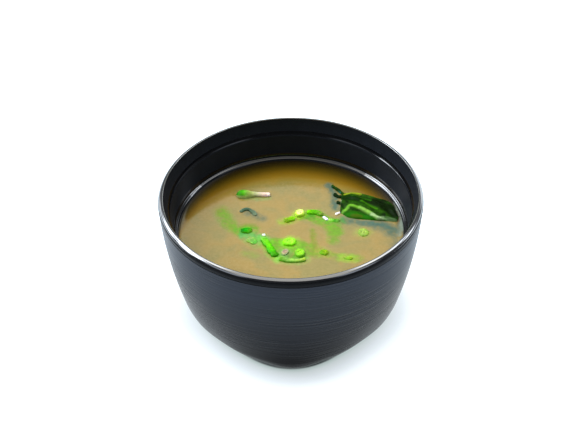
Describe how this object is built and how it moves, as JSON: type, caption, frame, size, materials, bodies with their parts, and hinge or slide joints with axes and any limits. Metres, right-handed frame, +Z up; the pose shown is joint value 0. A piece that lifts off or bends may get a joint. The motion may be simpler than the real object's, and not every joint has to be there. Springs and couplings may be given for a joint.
{
  "type": "miso soup",
  "caption": "Miso soup in a black bowl with a round rim and a soft square base: cloudy tan broth with a floating wakame leaf and sliced scallion.",
  "frame": {"origin": "centre of the foot, on the surface that the bowl stands on", "axes": "+Z up; one corner of the soft square base points to -Y, and the wakame leaf lies towards +X"},
  "size_m": [0.115, 0.115, 0.0645],
  "materials": {
    "bowl": "black moulded resin with a lacquer gloss, finely brushed round the outside",
    "soup": "cloudy tan miso broth, opaque with a wet gloss",
    "wakame": "wet dark green seaweed with a paler rib",
    "scallion": "wet bright green scallion skin",
    "scallion_pale": "wet pale green scallion, near the white of the stalk"
  },
  "bodies": {
    "root": {"bowl": "bowl", "soup": "soup", "wakame_leaf": "wakame", "wakame_shred": "wakame", "scallion_stalk_end": "scallion", "scallion_skin_left": "scallion", "scallion_flat": "scallion_pale", "scallion_strip_long": "scallion", "scallion_strip_front": "scallion", "scallion_ring_front": "scallion", "scallion_ring_low": "scallion_pale", "scallion_ring_middle": "scallion", "scallion_back_left": "scallion", "scallion_ring_back": "scallion_pale", "scallion_back_right": "scallion", "scallion_sliver": "scallion", "scallion_wedge": "scallion", "scallion_chip": "scallion", "scallion_ring_right": "scallion_pale"}
  },
  "joints": []
}
